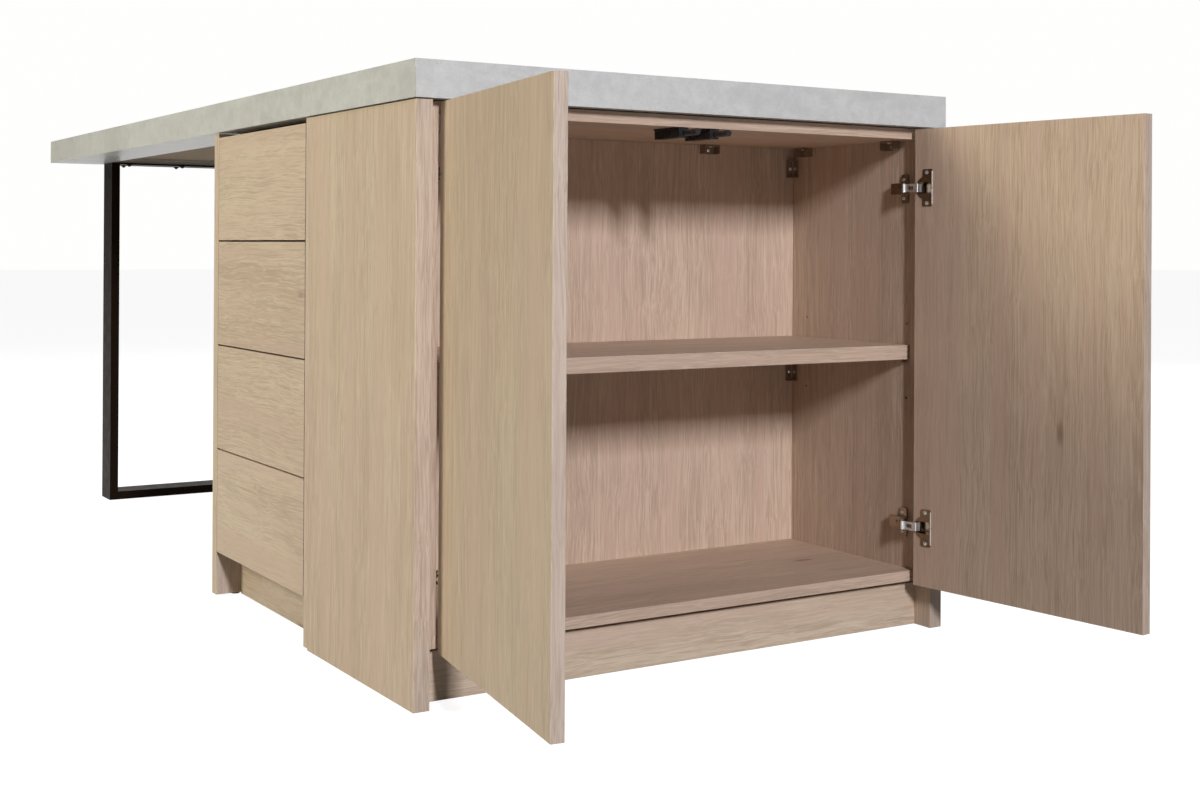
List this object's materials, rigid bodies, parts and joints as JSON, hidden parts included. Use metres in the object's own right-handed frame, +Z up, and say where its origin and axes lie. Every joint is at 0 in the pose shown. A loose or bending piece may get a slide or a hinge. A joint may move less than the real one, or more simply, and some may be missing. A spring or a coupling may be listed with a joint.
{
  "type": "kitchen island unit",
  "caption": "Kitchen island: oak cupboard with open doors and a drawer stack under a stone-look worktop that runs on as a bar to a black steel hoop leg.",
  "frame": {"origin": "on the floor, under the middle of the end kickboard, on the unit's centre line", "axes": "+Z up, +Y along the island from the door end to the bar end, +X to the right seen from the door end"},
  "size_m": [1.013, 2.723, 0.91],
  "materials": {
    "stone_surface": "satin stone look",
    "chipboard": "raw board",
    "oak_board": "oak grain, matt",
    "oak_inner": "oak grain, matt",
    "steel_plated": "nickel plated",
    "steel_runner": "zinc plated",
    "black_steel": "satin black powder coat",
    "black_plastic": "matt",
    "brown_plastic": "matt"
  },
  "bodies": {
    "island": {"worktop_sheet": "stone_surface", "worktop_core": "chipboard", "worktop_aprons": "stone_surface", "worktop_rims": "stone_surface", "end_panel_left": "oak_board", "end_panel_right": "oak_board", "drawer_end_panel": "oak_board", "partition_panel": "oak_board", "back_panel": "oak_board", "panel_glides": "black_plastic", "support_pads": "black_plastic", "cabinet_side_left": "oak_inner", "cabinet_side_right": "oak_inner", "cabinet_bottom": "oak_inner", "cabinet_top": "oak_inner", "cabinet_back": "oak_inner", "shelf": "oak_inner", "shelf_pins": "steel_plated", "corner_brackets": "brown_plastic", "bracket_screws": "steel_plated", "cabinet_feet": "black_plastic", "end_kickboard": "oak_board", "hinge_arms": "steel_plated", "hinge_plates": "steel_plated", "hinge_plate_screws": "steel_plated", "latch_housings": "black_plastic", "drawer_unit_bottom": "oak_inner", "drawer_unit_rails": "oak_inner", "drawer_unit_back": "oak_inner", "side_kickboard": "oak_board", "runner_cabinet": "steel_runner", "leg_hoop": "black_steel", "leg_bolts": "black_steel"},
    "door_left": {"door_left": "oak_board", "hinge_cups_left": "steel_plated", "cup_screws_left": "steel_plated"},
    "door_right": {"door_right": "oak_board", "hinge_cups_right": "steel_plated", "cup_screws_right": "steel_plated"},
    "hinge_link_left": {"hinge_links_left": "steel_plated"},
    "hinge_link_right": {"hinge_links_right": "steel_plated"},
    "plunger_left": {"latch_plunger_left": "black_plastic"},
    "plunger_right": {"latch_plunger_right": "black_plastic"},
    "drawer_1": {"drawer_front_1": "oak_board", "drawer_box_1": "oak_inner", "runner_drawer_1": "steel_runner"},
    "middle_runner_1": {"runner_middle_1": "steel_runner"},
    "drawer_2": {"drawer_front_2": "oak_board", "drawer_box_2": "oak_inner", "runner_drawer_2": "steel_runner"},
    "middle_runner_2": {"runner_middle_2": "steel_runner"},
    "drawer_3": {"drawer_front_3": "oak_board", "drawer_box_3": "oak_inner", "runner_drawer_3": "steel_runner"},
    "middle_runner_3": {"runner_middle_3": "steel_runner"},
    "drawer_4": {"drawer_front_4": "oak_board", "drawer_box_4": "oak_inner", "runner_drawer_4": "steel_runner"},
    "middle_runner_4": {"runner_middle_4": "steel_runner"}
  },
  "joints": [
    {"name": "door_left_swing", "type": "hinge", "parent": "island", "child": "door_left", "pos_m": [-0.4515, -0.0505, 0.4645], "axis": [0, 0, 1], "range_deg": [0, 98.5]},
    {"name": "door_right_swing", "type": "hinge", "parent": "island", "child": "door_right", "pos_m": [0.4515, -0.0505, 0.4645], "axis": [0, 0, -1], "range_deg": [-2.5, 96]},
    {"name": "hinge_link_left_turn", "type": "hinge", "parent": "island", "child": "hinge_link_left", "pos_m": [-0.4197, -0.0265, 0.4645], "axis": [0, 0, 1], "range_deg": [-47.2, 0]},
    {"name": "hinge_link_right_turn", "type": "hinge", "parent": "island", "child": "hinge_link_right", "pos_m": [0.4197, -0.0265, 0.4645], "axis": [0, 0, -1], "range_deg": [-46, 1.3]},
    {"name": "plunger_left_push", "type": "slide", "parent": "island", "child": "plunger_left", "axis": [0, 1, 0], "range_m": [0, 0.0349]},
    {"name": "plunger_right_push", "type": "slide", "parent": "island", "child": "plunger_right", "axis": [0, 1, 0], "range_m": [-0.001, 0.0349]},
    {"name": "drawer_1_slide", "type": "slide", "parent": "island", "child": "drawer_1", "axis": [-1, 0, 0], "range_m": [0, 0.48]},
    {"name": "middle_runner_1_slide", "type": "slide", "parent": "island", "child": "middle_runner_1", "axis": [-1, 0, 0], "range_m": [0, 0.24]},
    {"name": "drawer_2_slide", "type": "slide", "parent": "island", "child": "drawer_2", "axis": [-1, 0, 0], "range_m": [0, 0.48]},
    {"name": "middle_runner_2_slide", "type": "slide", "parent": "island", "child": "middle_runner_2", "axis": [-1, 0, 0], "range_m": [0, 0.24]},
    {"name": "drawer_3_slide", "type": "slide", "parent": "island", "child": "drawer_3", "axis": [-1, 0, 0], "range_m": [0, 0.48]},
    {"name": "middle_runner_3_slide", "type": "slide", "parent": "island", "child": "middle_runner_3", "axis": [-1, 0, 0], "range_m": [0, 0.24]},
    {"name": "drawer_4_slide", "type": "slide", "parent": "island", "child": "drawer_4", "axis": [-1, 0, 0], "range_m": [0, 0.48]},
    {"name": "middle_runner_4_slide", "type": "slide", "parent": "island", "child": "middle_runner_4", "axis": [-1, 0, 0], "range_m": [0, 0.24]}
  ],
  "couplings": [
    {"joint": "hinge_link_left_turn", "follows": "door_left_swing", "ratio": -0.47817},
    {"joint": "hinge_link_right_turn", "follows": "door_right_swing", "ratio": -0.47817},
    {"joint": "plunger_left_push", "follows": "door_left_swing", "m_per_rad": 0.020243},
    {"joint": "plunger_right_push", "follows": "door_right_swing", "m_per_rad": 0.02077},
    {"joint": "middle_runner_1_slide", "follows": "drawer_1_slide", "ratio": 0.5},
    {"joint": "middle_runner_2_slide", "follows": "drawer_2_slide", "ratio": 0.5},
    {"joint": "middle_runner_3_slide", "follows": "drawer_3_slide", "ratio": 0.5},
    {"joint": "middle_runner_4_slide", "follows": "drawer_4_slide", "ratio": 0.5}
  ]
}
